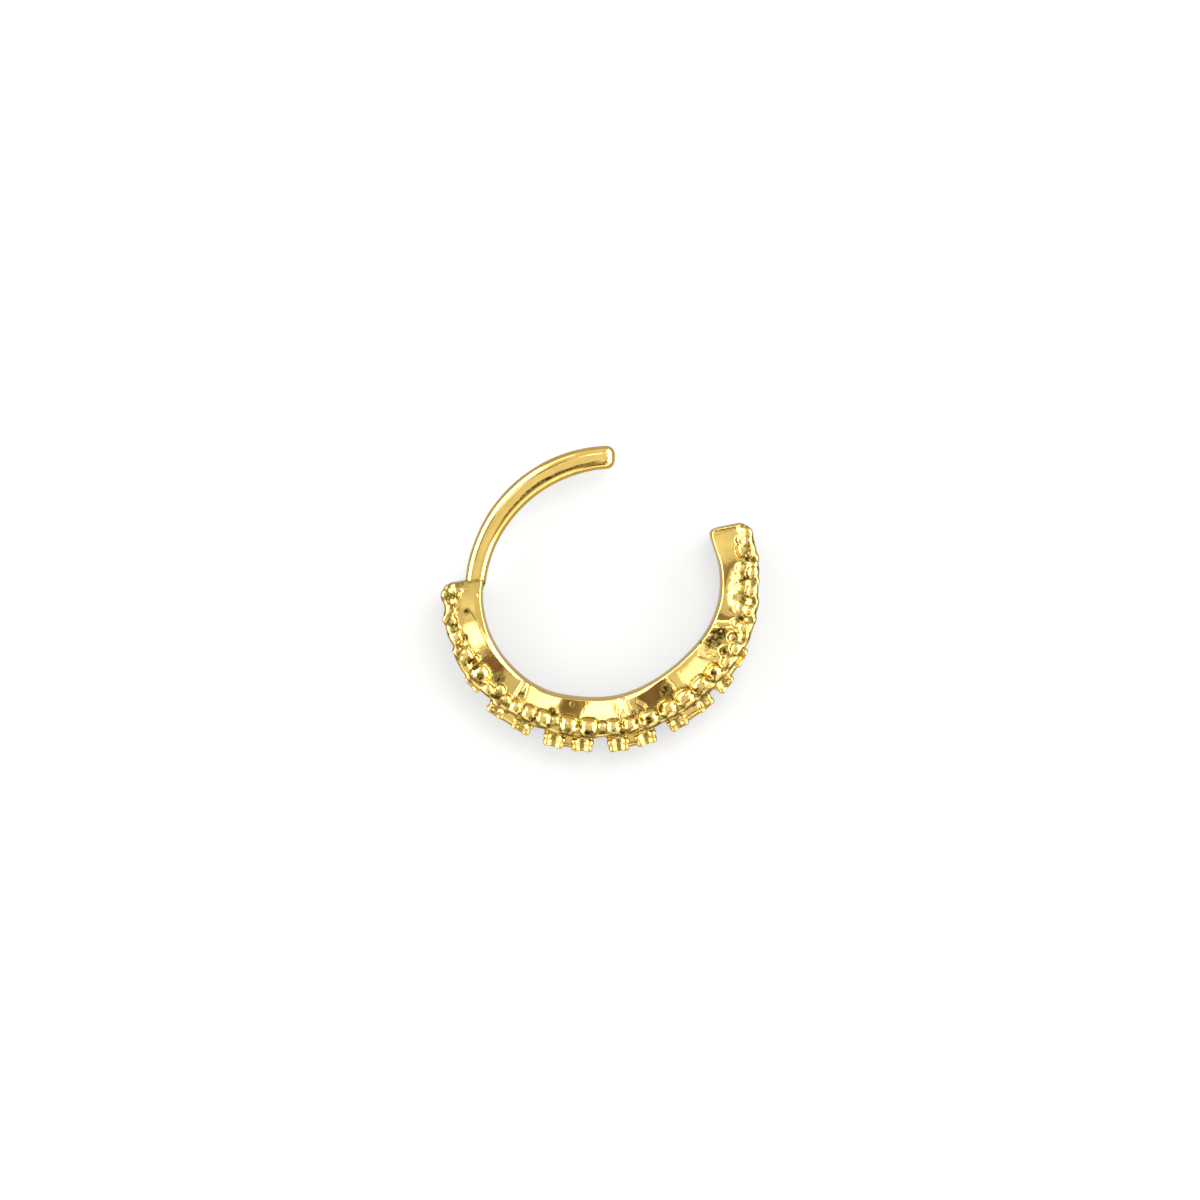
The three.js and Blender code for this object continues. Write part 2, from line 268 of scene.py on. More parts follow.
# Half the band's width at the outer edge of its side wall, how fast it narrows towards the bore, and how
# far inside the granule row that edge lies
WALL_OUTER = 1.03
WALL_SLOPE = 0.344
ROW_INSET = 0.12
LIP_BREAK = 0.008  # how sharply the wall turns into the lip
BORE_CROWN = 0.05  # how far the bore's middle stands in, at half a millimetre from its centre line
# Radius of the rolled edge beyond the granules, and the height of its middle
EDGE_ROLL = 0.24
EDGE_HEIGHT = 0.94
WAVES = (0.003, 0.0014, 0.0008)  # heights of the wall's three shallow waves
SHADE_PATCH_SPREAD = 1.25  # how much wider a painted shade patch is drawn than its table says
SHADE_PATCH_DEPTH = 1.8  # how far over full darkness its middle goes, which widens its dark middle
SHOULDER_ROUND = 0.1
BACK_ROUND = 0.12
# Waves of the rolled edge along the band: height, waves per radian, phase
SWELLS = ((0.02, 31, 0.7), (0.015, 53, 2.2))


def face_between(depth, half, start, end):
    """Distance outside the plane through two points of the section's outline, bore side first."""
    rise = end[1] - start[1]
    run = end[0] - start[0]
    return ((half - start[1]) * run - (depth - start[0]) * rise) / np.hypot(rise, run)


def to_segment(angle, radius, start, end):
    """Distance on the wall from each point to the stretch between two points, given by angle and radius."""
    x = np.radians(angle - start[0]) * radius
    y = radius - start[1]
    along_x = math.radians(end[0] - start[0]) * 0.5 * (start[1] + end[1])
    along_y = end[1] - start[1]
    share = np.clip((x * along_x + y * along_y) / (along_x**2 + along_y**2), 0, 1)
    return np.hypot(x - share * along_x, y - share * along_y)


def to_line(angle, radius, points):
    """Distance on the wall to a broken line."""
    return np.min([to_segment(angle, radius, a, b) for a, b in zip(points, points[1:])], axis=0)


def wall_detail(angle, radius):
    """How far the side wall stands out of its plain shape: shallow waves of the casting, and its grooves
    and ridges, each a bell across its own broken line."""
    turn = np.radians(angle)
    waves = WAVES[0] * np.sin(9.3 * turn + 1.1 * radius)
    waves = waves + WAVES[1] * np.sin(21.7 * turn - 2.3 * radius + 1.9)
    waves = waves + WAVES[2] * np.sin(6.1 * radius + 33 * turn)
    for points, depth, width, _ in GROOVES:
        waves = waves - depth * bump(to_line(angle, radius, points), width)
    return waves


def patch_shade(angle, radius):
    """How dark the painted shade patches make the casting: 1 in the middle of a patch, 0 away from them."""
    dark = 0 * radius
    for at, middle, width in SHADE_PATCHES:
        aside = np.hypot(np.radians(angle - at) * radius, radius - middle)
        dark = np.maximum(dark, SHADE_PATCH_DEPTH * bump(aside, SHADE_PATCH_SPREAD * width))
    return np.minimum(dark, 1)


def groove_shade(angle, radius):
    """How dark the wall is painted along its grooves and its painted dark lines: painted shade."""
    dark = 0 * radius
    for points, _, width, darkness in GROOVES:
        dark = np.maximum(dark, darkness * bump(to_line(angle, radius, points), width))
    return dark


def plain_wall(radius, row):
    """Half the band's width at a radius of its side wall, given the granule row's radius."""
    return WALL_OUTER + WALL_SLOPE * (radius - row + ROW_INSET)


def edge_shade(angle, radius, z, to_end):
    """How dark the edge of the bore and the edges of the end faces are painted beside the wall: painted
    shade.
    """
    past_bore = radius - smooth(BAND, angle)
    beside = np.clip((z - plain_wall(radius, smooth(BAND, angle, 2)) + 0.16) / 0.08, 0, 1)
    tone = np.interp(angle, EDGE_TONE[:, 0], EDGE_TONE[:, 1]) * bump(np.maximum(past_bore - 0.02, 0), 0.04)
    return beside * np.maximum(tone, 0.7 * bump(np.maximum(to_end - 0.12, 0), 0.05))


def ripple_mask(angle, radius):
    """How strongly the wall is rippled: full strength inside each patch, 0 outside."""
    mask = 0 * radius
    for at, middle, half_length, half_width, strength in RIPPLES:
        aside = np.hypot(np.radians(angle - at) * radius / half_length, (radius - middle) / half_width)
        mask = np.maximum(mask, strength * np.clip(1.5 - aside, 0, 1))
    return mask


def section(angle, radius, z, to_end, detail):
    """Distance outside the plain band: the softened greatest of the distances outside its bore, the side
    wall with the lip beside the bore, the shoulder, the two slopes of the back and the back itself."""
    bore, row, back = (smooth(BAND, angle, column) for column in (1, 2, 3))
    lip = bore + np.interp(angle, LIP[:, 0], LIP[:, 1])
    lip_slope = np.tan(np.radians(np.interp(angle, LIP[:, 0], LIP[:, 2])))
    half = np.abs(z)
    on_lip = 1 / (1 + np.exp((radius - lip) / LIP_BREAK))
    wall = plain_wall(radius, row) + (WALL_SLOPE - lip_slope) * (lip - radius) * on_lip
    slope = back - row
    corner = END_CORNER - np.sqrt(END_CORNER**2 - np.maximum(END_CORNER - to_end, 0) ** 2)
    outside = bore - radius + BORE_CROWN * (z / 0.5) ** 2 + corner
    dark_edge = np.interp(angle, EDGE_TONE[:, 0], EDGE_TONE[:, 1])
    outside = soft_max(outside, (half - wall - detail) * 0.94, 0.04 - 0.05 * dark_edge)
    shoulder = [(row - ROW_INSET, WALL_OUTER), (row + 0.1, WALL_OUTER + 0.02),
                (row + 0.6 * slope, 0.76), (back, 0.28)]
    for start, end in zip(shoulder, shoulder[1:]):
        outside = soft_max(outside, face_between(radius, half, start, end), SHOULDER_ROUND)
    outside = soft_max(outside, radius - back + corner, BACK_ROUND)
    turn = np.radians(angle)
    (broad, broad_rate, broad_phase), (fine, fine_rate, fine_phase) = SWELLS
    swell = broad * np.sin(broad_rate * turn + broad_phase)
    swell = swell + fine * np.sin(fine_rate * turn + fine_phase + 2 * z)
    rolled = np.hypot(radius - (smooth(EDGE, angle) - EDGE_ROLL), half - EDGE_HEIGHT) - EDGE_ROLL - swell
    rolled = np.maximum(rolled, radius - smooth(EDGE, angle) + corner - swell)
    return soft_min(outside, rolled, 0.1)


# Height of the surface under a granule, by how far it lies outside the row
GROUND = ((-0.5, -0.15, 0.05, 0.25, 0.5), (0.9, 1.0, 1.12, 1.18, 1.0))
LARGE = 0.25  # radius from which a granule stands out further
TOP_GAP = 0.008  # how far under the band's full width the highest granules stop
NEAREST = 5  # granules looked at from each point
SQUARE = 0.9  # how much squarer than a ball, in plan, the larger granules are
# Steps towards the surface along each ray, before and after the wall's detail is added, and their length
STEPS = (45, 50)
STEP = 0.75


def granule_places():
    """Where the granules of the upper row are: angle, centre's radius, centre's height, own radius. The
    largest reach the band's full height, and the small ones stand out by a share of their own radius."""
    at, radius, size = GRANULES[:, 0], GRANULES[:, 1], GRANULES[:, 2] / 2
    ground = np.interp(radius - smooth(BAND, at, 2), GROUND[0], GROUND[1])
    top = ground + 0.03 + 0.6 * size + 0.5 * np.maximum(size - LARGE, 0)
    top = np.minimum(WIDTH / 2 - TOP_GAP, top)
    return at, radius, top - size, size


def band_stations():
    """Shares along the band, closer together at the ends' rounded edges."""
    length = MIDDLE_RADIUS * math.radians(end_angle(LAST, MIDDLE_RADIUS) - end_angle(FIRST, MIDDLE_RADIUS))
    edge = END_ROUND * (1 - np.cos(np.linspace(0, np.pi / 2, 13)))[:-1] / length
    middle = np.linspace(END_ROUND / length, 1 - END_ROUND / length, STATIONS)
    return np.concatenate([edge, middle, 1 - edge[::-1]]), length


def ray_angles():
    """Directions of the rays from a section's core, from the back over the upper edge to the bore: close
    together over the granules and at the bore's edge."""
    return np.radians(np.concatenate([
        np.linspace(0, 36, 5)[:-1], np.linspace(36, 108, 48)[:-1], np.linspace(108, 132, 14)[:-1],
        np.linspace(132, 152, 14)[:-1], np.linspace(152, 180, 5)]))


def band():
    """The band with its granules. The surface is a function of the share along the band and the direction
    of a ray from each section's core: the point on that ray where a field of distances is zero. The field
    is the softened least of the distances outside the plain section, with its blemishes, and the granules,
    which are balls drawn squarer in plan: the root of the power sum of the offsets along and across the row,
    then the distance with the height. Near each end the field is rounded over to the flat face. Only the
    upper half is solved; the lower mirrors it."""
    stations, length = band_stations()
    rays = ray_angles()
    along = stations[:, None] + 0 * rays
    middle = band_angle(stations, MIDDLE_RADIUS)
    core = (smooth(BAND, middle, 2) - CORE_DEPTH)[:, None]
    to_end = np.minimum(stations, 1 - stations)[:, None] * length
    inset = END_ROUND - np.sqrt(END_ROUND**2 - np.maximum(END_ROUND - to_end, 0) ** 2)
    towards_back = 1 / (1 + np.exp((np.degrees(rays) - 74) / 3))
    fillet = smooth(FILLET, middle)[:, None] * (1 - towards_back) + BACK_FILLET * towards_back

    at, row, height, size = granule_places()
    gap = np.abs(middle[:, None] - at) - np.degrees(size / row)
    nearest = np.argsort(gap, axis=1)[:, :NEAREST]
    spots = on_ring(BLEMISHES[:, 0], BLEMISHES[:, 1], 0)
    squareness = 2 + SQUARE * np.clip((size - 0.2) / 0.1, 0, 1)
    spot_gap = np.abs(middle[:, None] - BLEMISHES[:, 0])
    nearest_spot = np.argsort(spot_gap, axis=1)[:, :2]

    def field(distance, detail):
        radius = core + distance * np.cos(rays)
        z = distance * np.sin(rays)
        angle = band_angle(along, radius)
        point = on_ring(angle, radius, z)
        plain = section(middle[:, None] + 0 * radius, radius, z, to_end, detail)
        for k in range(2):
            which = nearest_spot[:, k]
            aside = np.linalg.norm((point - spots[which][:, None])[..., :2], axis=-1)
            width = BLEMISHES[which, 2][:, None] / 2
            plain = plain - BLEMISHES[which, 3][:, None] * bump(aside, width) * (z > 0.3)
        outside = plain
        painted_shade = 0 * plain
        uneven = lumps(point)
        for k in range(NEAREST):
            which = nearest[:, k]
            power = squareness[which][:, None]
            aside = np.abs(np.radians(angle - at[which][:, None]) * row[which][:, None])
            inward = np.abs(radius - row[which][:, None])
            flat = (aside**power + inward**power + 1e-9) ** (1 / power)
            ball = np.hypot(flat, z - height[which][:, None]) - size[which][:, None] + uneven
            # Painted shade where a granule runs into the wall or into another granule.
            painted_shade = np.maximum(painted_shade, bump(outside - ball, 0.09) * bump(outside, 0.1))
            outside = soft_min(outside, ball, fillet + 0.05 * (size[which] < 0.25)[:, None])
        return outside + inset, painted_shade

    distance = np.full(along.shape, 1.7)
    detail = 0 * along
    for steps in STEPS:
        for _ in range(steps):
            distance = distance - STEP * field(distance, detail)[0]
        radius = core + distance * np.cos(rays)
        angle = band_angle(along, radius)
        detail = wall_detail(angle, radius) * (radius < smooth(BAND, angle, 2))
    z = distance * np.sin(rays)
    on_wall = z > 0.4
    # Painted shade, kept as a vertex attribute: darker where granules meet the wall, in the shade patches,
    # along the grooves and dark lines, and at the edges of the bore and the ends. rough, the granule and
    # patch part, also raises the bump.
    rough = np.maximum(field(distance, detail)[1], patch_shade(angle, radius) * on_wall)
    painted_shade = np.maximum(rough, groove_shade(angle, radius) * on_wall)
    painted_shade = np.maximum(painted_shade, edge_shade(angle, radius, z, to_end))
    beyond = radius - smooth(BAND, angle, 2) + 0.3
    ripple = np.maximum(ripple_mask(angle, radius), 0.6 * np.clip(beyond / 0.1, 0, 1)) + 0.5 * rough
    upper = on_ring(band_angle(along, radius), radius, z)
    lower = upper[:, -2:0:-1] * [1, 1, -1]
    rings = np.concatenate([upper, lower], axis=1)
    cap = core_ring(rings, 0.94)
    rings = np.concatenate([cap[:1], rings, cap[-1:]])
    attributes = {}
    for key, values in (("painted_shade", painted_shade), ("ripple", ripple)):
        whole = np.concatenate([values, values[:, -2:0:-1]], axis=1)
        attributes[key] = np.concatenate([0 * whole[:1], whole, 0 * whole[-1:]])[None, :, ::-1]
    return tubes("band", rings[None, :, ::-1], attributes)


def core_ring(rings, share):
    """Each ring drawn in towards its own mean, in its own plane."""
    mean = rings.mean(axis=1, keepdims=True)
    return mean + (rings - mean) * share


# ---------------------------------------------------------------- collets
COLLET_HEIGHT = 1.0
COLLET_HALF = 0.40
COLLET_FACE = 0.08  # how far its upper and lower faces lie inside that
COLLET_EXTRA = 0.3  # how much further each collet reaches to either side of the band's middle
COLLET_LONG = 1.06  # how much longer than wide its claws stand
FLARE = 0.09  # how much wider it is where it meets the band
# Beads on the claws, and the claws' tips: how far from the collet's middle, radius, how far below its rim
BEAD = (0.295, 0.165, 0.42)
TIP = (0.26, 0.155, 0.155)
CUP_HALF = 0.2
CUP_DEPTH = 0.04
# The hollow in its upper and lower faces: half length, half height, depth, how far below the rim
DISH = (0.2, 0.24, 0.1, 0.3)
# How dark the dish in each collet's face is painted: painted shade.
DISH_SHADE = 0.7
COLLET_STEPS = 70
COLLET_STEP = 0.7


def collet_dish(across, along, height):
    """How far outside the hollow in a collet's upper or lower face a point is, as a share of its size."""
    half_length, half_height, depth, drop = DISH
    side = np.hypot(along / half_length, (height - COLLET_HEIGHT + drop) / half_height)
    return np.hypot(side, (across + COLLET_FACE - COLLET_HALF) / depth) - 1


def collet_field(across, along, height, foot, melt):
    """Distance outside a collet, whose foot is at height zero: a rounded square shaft that flares at the
    band's surface, with a bead and a tip on each corner claw, and a shallow cup in its face. A melt of 1
    makes it broader and softer, with its claws sunk in."""
    across = np.abs(across) - COLLET_EXTRA
    along = along / COLLET_LONG
    square = (np.abs(across + COLLET_FACE) ** 5 + np.abs(along) ** 5) ** 0.2
    flare = FLARE * bump(np.maximum(height - foot, 0), 0.1)
    half = COLLET_HALF - 0.03 * melt
    outside = soft_max(square - half - flare, height - COLLET_HEIGHT + 0.02, 0.08 + 0.12 * melt)
    for at, size, drop in (TIP, BEAD):
        corner = np.hypot(np.abs(across) - at, np.abs(along) - at)
        ball = np.hypot(corner, height - (COLLET_HEIGHT - drop)) - size
        outside = soft_min(outside, ball + 0.06 * melt, 0.04 + 0.06 * melt)
    dish = collet_dish(across, along, height)
    outside = soft_max(outside, -0.15 * (dish + melt), 0.06)
    square_cup = (np.abs(across) ** 4 + np.abs(along) ** 4) ** 0.25
    cup = np.hypot(square_cup / CUP_HALF, (height - COLLET_HEIGHT) / CUP_DEPTH) - 1
    outside = soft_max(outside, -cup * CUP_DEPTH, 0.05)
    return np.maximum(outside, -height)


# Angles that no collet's middle goes past, so that none shows through the band's end faces
COLLET_LIMITS = (188.2, 374.6)


def collets():
    """All the collets. Each surface is a function of the direction, in turn and tilt, of a ray from the
    collet's middle: the point on that ray where the field of distances is zero."""
    at = np.concatenate([PAIRS[:, 0] - PAIRS[:, 1] / 2, PAIRS[:, 0] + PAIRS[:, 1] / 2])
    at = np.clip(at, *COLLET_LIMITS)
    rim = np.concatenate([PAIRS[:, 2], PAIRS[:, 3]])
    foot = (smooth(BAND, at, 3) - (rim - COLLET_HEIGHT))[:, None, None]
    melt = np.tile(PAIRS[:, 6], 2)[:, None, None]
    turn = np.radians(np.arange(56) * 360 / 56)
    tilt = np.radians(np.concatenate([np.linspace(1.5, 110, 46), np.linspace(114, 178, 12)]))[:, None]
    direction = (np.sin(tilt) * np.cos(turn), np.sin(tilt) * np.sin(turn), np.cos(tilt) + 0 * turn)
    middle = 0.58 * COLLET_HEIGHT

    def place(distance):
        return direction[0] * distance, direction[1] * distance, middle + direction[2] * distance

    distance = np.full((len(at), len(tilt), len(turn)), 0.85)
    for _ in range(COLLET_STEPS):
        across, along, height = place(distance)
        uneven = lumps(np.stack([across + at[:, None, None], along, height], axis=-1))
        distance = distance - COLLET_STEP * (collet_field(across, along, height, foot, melt) + uneven)
    across, along, height = place(distance)
    root = (rim - COLLET_HEIGHT)[:, None, None]
    angle = np.radians(at)[:, None, None]
    x = (root + height) * np.cos(angle) - along * np.sin(angle)
    y = (root + height) * np.sin(angle) + along * np.cos(angle)
    rings = np.stack([x, y, across], axis=-1)
    # Painted shade: darker at the collet's foot, where it meets the band, and in the dish of its face, less
    # so on melted collets.
    low = bump(np.maximum(height - foot - 0.02, 0), 0.08)
    dish = collet_dish(np.abs(across) - COLLET_EXTRA, along / COLLET_LONG, height)
    low = np.maximum(low, DISH_SHADE * bump(np.maximum(dish, 0), 0.3) * (1 - 0.4 * melt))
    return tubes("collets", rings, {"painted_shade": low, "ripple": 1.0 + 0 * low})


WEB_RADIUS = 6.6  # radius at which a wall's ends meet the collets
WEB_HALF = 0.4  # half its height
WEB_DIP = 0.02  # how much lower it is half way


def webs():
    """The wall between the collets of each pair: a rounded upright outline carried along the ring's
    tangent, lowest half way."""
    top = np.minimum(PAIRS[:, 2], PAIRS[:, 3]) - PAIRS[:, 4]
    shown = top > smooth(BAND, PAIRS[:, 0], 3) + 0.05
    rows = PAIRS[shown]
    top = top[shown][:, None, None]
    turn = np.radians(np.arange(40) * 9)
    along = np.linspace(-1, 1, 13)[:, None]
    reach = (WEB_RADIUS * np.sin(np.radians(rows[:, 1] / 2)))[:, None, None]
    dip = WEB_DIP * (1 - along**2)
    rounded = (np.abs(np.cos(turn)) ** 3 + np.abs(np.sin(turn)) ** 3) ** (-1 / 3)
    across = rows[:, 5, None, None] * rounded * np.sin(turn) + 0 * along
    height = WEB_HALF * rounded * np.cos(turn) - WEB_HALF - dip
    angle = np.radians(rows[:, 0])[:, None, None]
    radius = top + height
    x = radius * np.cos(angle) - along * reach * np.sin(angle)
    y = radius * np.sin(angle) + along * reach * np.cos(angle)
    rings = np.stack([x, y, across + 0 * x], axis=-1)
    # Painted shade: each web is darker the further below the rims it stops, and towards the collets at its
    # ends.
    painted_shade = np.clip(rows[:, 4, None, None] * 4, 0.1, 0.8) + 0.2 * np.abs(along) + 0 * x
    ripple = 1 + 0 * x
    return tubes("webs", rings[:, :, ::-1], {"painted_shade": painted_shade[:, :, ::-1], "ripple": ripple})


# ---------------------------------------------------------------- the arm
TIP_ROUND = 0.42  # over how much of its length the arm's breadth closes at the tip
DOME = 0.5  # over how much of it its height does
BLUNT = 2.5  # power of the tip's outline: 2 is an ellipse
WIRE_POWER = 2.3  # power of the wire's section
WIRE_SHARE = 0.985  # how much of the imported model's thickness the wire takes
FOOT = (0.02, 0.3, 0.16)  # solder at its foot: thickness, distance from the root, width
DARK_REFLECTION_AT = -0.32  # where the painted dark reflection line runs, as a share of the wire's radius


def arm():
    """The wire arm: a section a little squarer than a circle, carried along one arc. It thickens into a
    foot of solder at the band's end, and closes over a blunt rounded tip. A painted dark reflection, a line,
    wanders along its inner third from about a third of the way to the tip, and it is darker at its foot."""
    span = ARM_RADIUS * math.radians(ARM_FROM - ARM_TO)
    body = np.linspace(0, 1, 110)
    cap = np.sin(np.linspace(0, np.pi / 2, 22))[1:] * TIP_ROUND / span
    tail = WIRE[-1, 1] - TIP_ROUND
    share = np.concatenate([body * (1 + tail / span), 1 + tail / span + cap])
    travelled = share * span
    over = np.clip((share - 1 - tail / span) * span / TIP_ROUND, 0, 1)
    closing = np.maximum(1 - over**BLUNT, 0) ** (1 / BLUNT)
    closing[-1] = 0.05
    past = np.clip((travelled - span - tail - TIP_ROUND + DOME) / DOME, 0, 1)
    dome = np.sqrt(np.maximum(1 - past**2, 0.0025))
    foot = FOOT[0] * bump(travelled - FOOT[1], FOOT[2])
    wire = WIRE_SHARE * smooth(WIRE, np.minimum(share, 1))
    thick = (wire * closing + foot)[:, None]
    high = (wire * dome + foot)[:, None]
    turn = np.radians(np.arange(96) * 3.75)
    flat = (np.abs(np.cos(turn)) ** WIRE_POWER + np.abs(np.sin(turn)) ** WIRE_POWER) ** (-1 / WIRE_POWER)
    outward = thick * flat * np.cos(turn)
    z = high * flat * np.sin(turn) * 0.99
    angle = np.radians(ARM_FROM - travelled / ARM_RADIUS * 180 / np.pi)[:, None]
    x = ARM_CENTRE[0] + (ARM_RADIUS + outward) * np.cos(angle)
    y = ARM_CENTRE[1] + (ARM_RADIUS + outward) * np.sin(angle)
    rings = np.stack([x, y, z + 0 * x], axis=-1)
    shown = np.clip((travelled - 0.36 * span) / 0.5, 0, 1) * np.clip((span - travelled) / 0.4, 0, 1)
    wander = 0.03 * np.sin(2.1 * travelled) + 0.015 * np.sin(7.3 * travelled + 1)
    # Painted dark reflection: a wandering dark line along the upper side's inner third; darker at the foot
    # too.
    aside = flat * np.cos(turn) - DARK_REFLECTION_AT + wander[:, None]
    dark_reflection = bump(aside, 0.07 + 0.03 * np.sin(1.3 * travelled)[:, None])
    dark_reflection = np.minimum(1.6 * dark_reflection, 1) * (np.sin(turn) > 0) * shown[:, None]
    painted_shade = np.maximum(bump(travelled - 0.28, 0.1)[:, None], dark_reflection) + 0 * x
    return tubes("arm", rings[None], {"painted_shade": painted_shade[None]})


# ---------------------------------------------------------------- shader node helpers
def node(tree, kind, values=None, links=None, **settings):
    """A node with its settings, the numbers of its sockets and the outputs that feed them."""
    made = tree.nodes.new(kind)
    for key, value in settings.items():
        setattr(made, key, value)
    for key, value in (values or {}).items():
        made.inputs[key].default_value = value
    for key, source in (links or {}).items():
        tree.links.new(source, made.inputs[key])
    return made


def sum_of(tree, a, b, operation="ADD"):
    """The output of a math node on two values, each a number or another node's output."""
    made = tree.nodes.new("ShaderNodeMath")
    made.operation = operation
    for i, value in enumerate((a, b)):
        if isinstance(value, (int, float)):
            made.inputs[i].default_value = value
        else:
            tree.links.new(value, made.inputs[i])
    return made.outputs[0]


def new_group(name, inputs, outputs):
    """A shader node group with named sockets, and its input and output nodes."""
    tree = bpy.data.node_groups.new(name, "ShaderNodeTree")
    for socket, kind, default in inputs:
        made = tree.interface.new_socket(socket, in_out="INPUT", socket_type=kind)
        if default is not None:
            made.default_value = default
    for socket, kind in outputs:
        tree.interface.new_socket(socket, in_out="OUTPUT", socket_type=kind)
    return tree, tree.nodes.new("NodeGroupInput").outputs, tree.nodes.new("NodeGroupOutput").inputs


def plating_tone_and_shade():
    """Group: the plating's colour, cloudy over a few tenths of a millimetre, and darkened towards Deep by
    painted shade in crevices, grooves, edges and dark patches.
    """
    tree, given, out = new_group(
        "plating tone and shade",
        [("Vector", "NodeSocketVector", None), ("Gold", "NodeSocketColor", None),
         ("Deep", "NodeSocketColor", None), ("Painted shade", "NodeSocketFloat", 0.0),
         ("Cloud", "NodeSocketFloat", 0.3)],
        [("Color", "NodeSocketColor")])
    cloud = node(tree, "ShaderNodeTexNoise", {"Scale": 900.0, "Detail": 4.0, "Roughness": 0.6},
                 {"Vector": given["Vector"]})
    spread = node(tree, "ShaderNodeMapRange", {"From Min": 0.35, "From Max": 0.75},
                  {"Value": cloud.outputs["Fac"]})
    cloudy = sum_of(tree, spread.outputs["Result"], given["Cloud"], "MULTIPLY")
    speckle = node(tree, "ShaderNodeTexNoise", {"Scale": 7000.0, "Detail": 1.0}, {"Vector": given["Vector"]})
    speckled = node(tree, "ShaderNodeMapRange", {"From Min": 0.4, "From Max": 0.52, "To Min": 0.7},
                    {"Value": speckle.outputs["Fac"]})
    dark = sum_of(tree, speckled.outputs["Result"], given["Painted shade"], "MULTIPLY")
    mask = sum_of(tree, cloudy, dark, "MAXIMUM")
    mixed = tree.nodes.new("ShaderNodeMix")
    mixed.data_type = "RGBA"
    tree.links.new(mask, mixed.inputs[0])
    tree.links.new(given["Gold"], mixed.inputs[6])
    tree.links.new(given["Deep"], mixed.inputs[7])
    tree.links.new(mixed.outputs[2], out["Color"])
    return tree


def casting_grain():
    """Group: a height for the bump of a cast and tumbled surface, and a roughness that varies with it."""
    tree, given, out = new_group(
        "casting grain",
        [("Vector", "NodeSocketVector", None), ("Size", "NodeSocketFloat", 9000.0),
         ("Roughness", "NodeSocketFloat", 0.1), ("Painted shade", "NodeSocketFloat", 0.0),
         ("Ripple", "NodeSocketFloat", 0.0)],
        [("Height", "NodeSocketFloat"), ("Roughness", "NodeSocketFloat")])
    fine = node(tree, "ShaderNodeTexNoise", {"Detail": 3.0, "Roughness": 0.55},
                {"Vector": given["Vector"], "Scale": given["Size"]})
    broad = node(tree, "ShaderNodeTexNoise", {"Scale": 1500.0, "Detail": 2.0}, {"Vector": given["Vector"]})
    height = sum_of(tree, sum_of(tree, fine.outputs["Fac"], 0.4, "MULTIPLY"), broad.outputs["Fac"])
    choppy = node(tree, "ShaderNodeTexNoise", {"Scale": 5000.0, "Detail": 2.0, "Distortion": 1.5},
                  {"Vector": given["Vector"]})
    ripples = sum_of(tree, choppy.outputs["Fac"], given["Ripple"], "MULTIPLY")
    height = sum_of(tree, height, sum_of(tree, ripples, 6.0, "MULTIPLY"))
    tree.links.new(height, out["Height"])
    varied = sum_of(tree, sum_of(tree, broad.outputs["Fac"], 1.0, "MULTIPLY"), 0.5)
    rough = sum_of(tree, given["Roughness"], varied, "MULTIPLY")
    rough = sum_of(tree, rough, sum_of(tree, given["Painted shade"], 0.15, "MULTIPLY"))
    tree.links.new(rough, out["Roughness"])
    return tree


TONE = plating_tone_and_shade()
GRAIN = casting_grain()


def gold(name, colour, deep, cloud, roughness, grain_size, bump_strength):
    """Plated gold: a metal whose tone, roughness and bump come from the two groups; its colour carries
    painted shade.
    """
    material = bpy.data.materials.new(name)
    material.use_nodes = True
    tree = material.node_tree
    shader = tree.nodes["Principled BSDF"]
    shader.inputs["Metallic"].default_value = 1.0
    place = node(tree, "ShaderNodeTexCoord").outputs["Object"]
    painted_shade = node(tree, "ShaderNodeAttribute", attribute_name="painted_shade").outputs["Fac"]
    tone = node(tree, "ShaderNodeGroup", node_tree=TONE)
    tone.inputs["Gold"].default_value = (*colour, 1)
    tone.inputs["Deep"].default_value = (*deep, 1)
    tone.inputs["Cloud"].default_value = cloud
    grain = node(tree, "ShaderNodeGroup", node_tree=GRAIN)
    grain.inputs["Size"].default_value = grain_size
    grain.inputs["Roughness"].default_value = roughness
    for group in (tone, grain):
        tree.links.new(place, group.inputs["Vector"])
        tree.links.new(painted_shade, group.inputs["Painted shade"])
    ripple = node(tree, "ShaderNodeAttribute", attribute_name="ripple").outputs["Fac"]
    tree.links.new(ripple, grain.inputs["Ripple"])
    raised = node(tree, "ShaderNodeBump", {"Strength": bump_strength, "Distance": 0.02 * MM},
                  {"Height": grain.outputs["Height"]})
    tree.links.new(tone.outputs["Color"], shader.inputs["Base Color"])
    tree.links.new(grain.outputs["Roughness"], shader.inputs["Roughness"])
    tree.links.new(raised.outputs["Normal"], shader.inputs["Normal"])
    return material


GOLD = (0.92, 0.66, 0.21)
# DEEP is what the plating's random clouds lean towards, and the colour of the painted shade.
DEEP = (0.07, 0.043, 0.004)
band_gold = gold("tumbled cast gold", GOLD, DEEP, 0.25, 0.06, 9000.0, 0.12)
collet_gold = gold("small work gold", GOLD, DEEP, 0.3, 0.09, 9000.0, 0.15)
arm_gold = gold("drawn wire gold", GOLD, DEEP, 0.2, 0.1, 14000.0, 0.25)


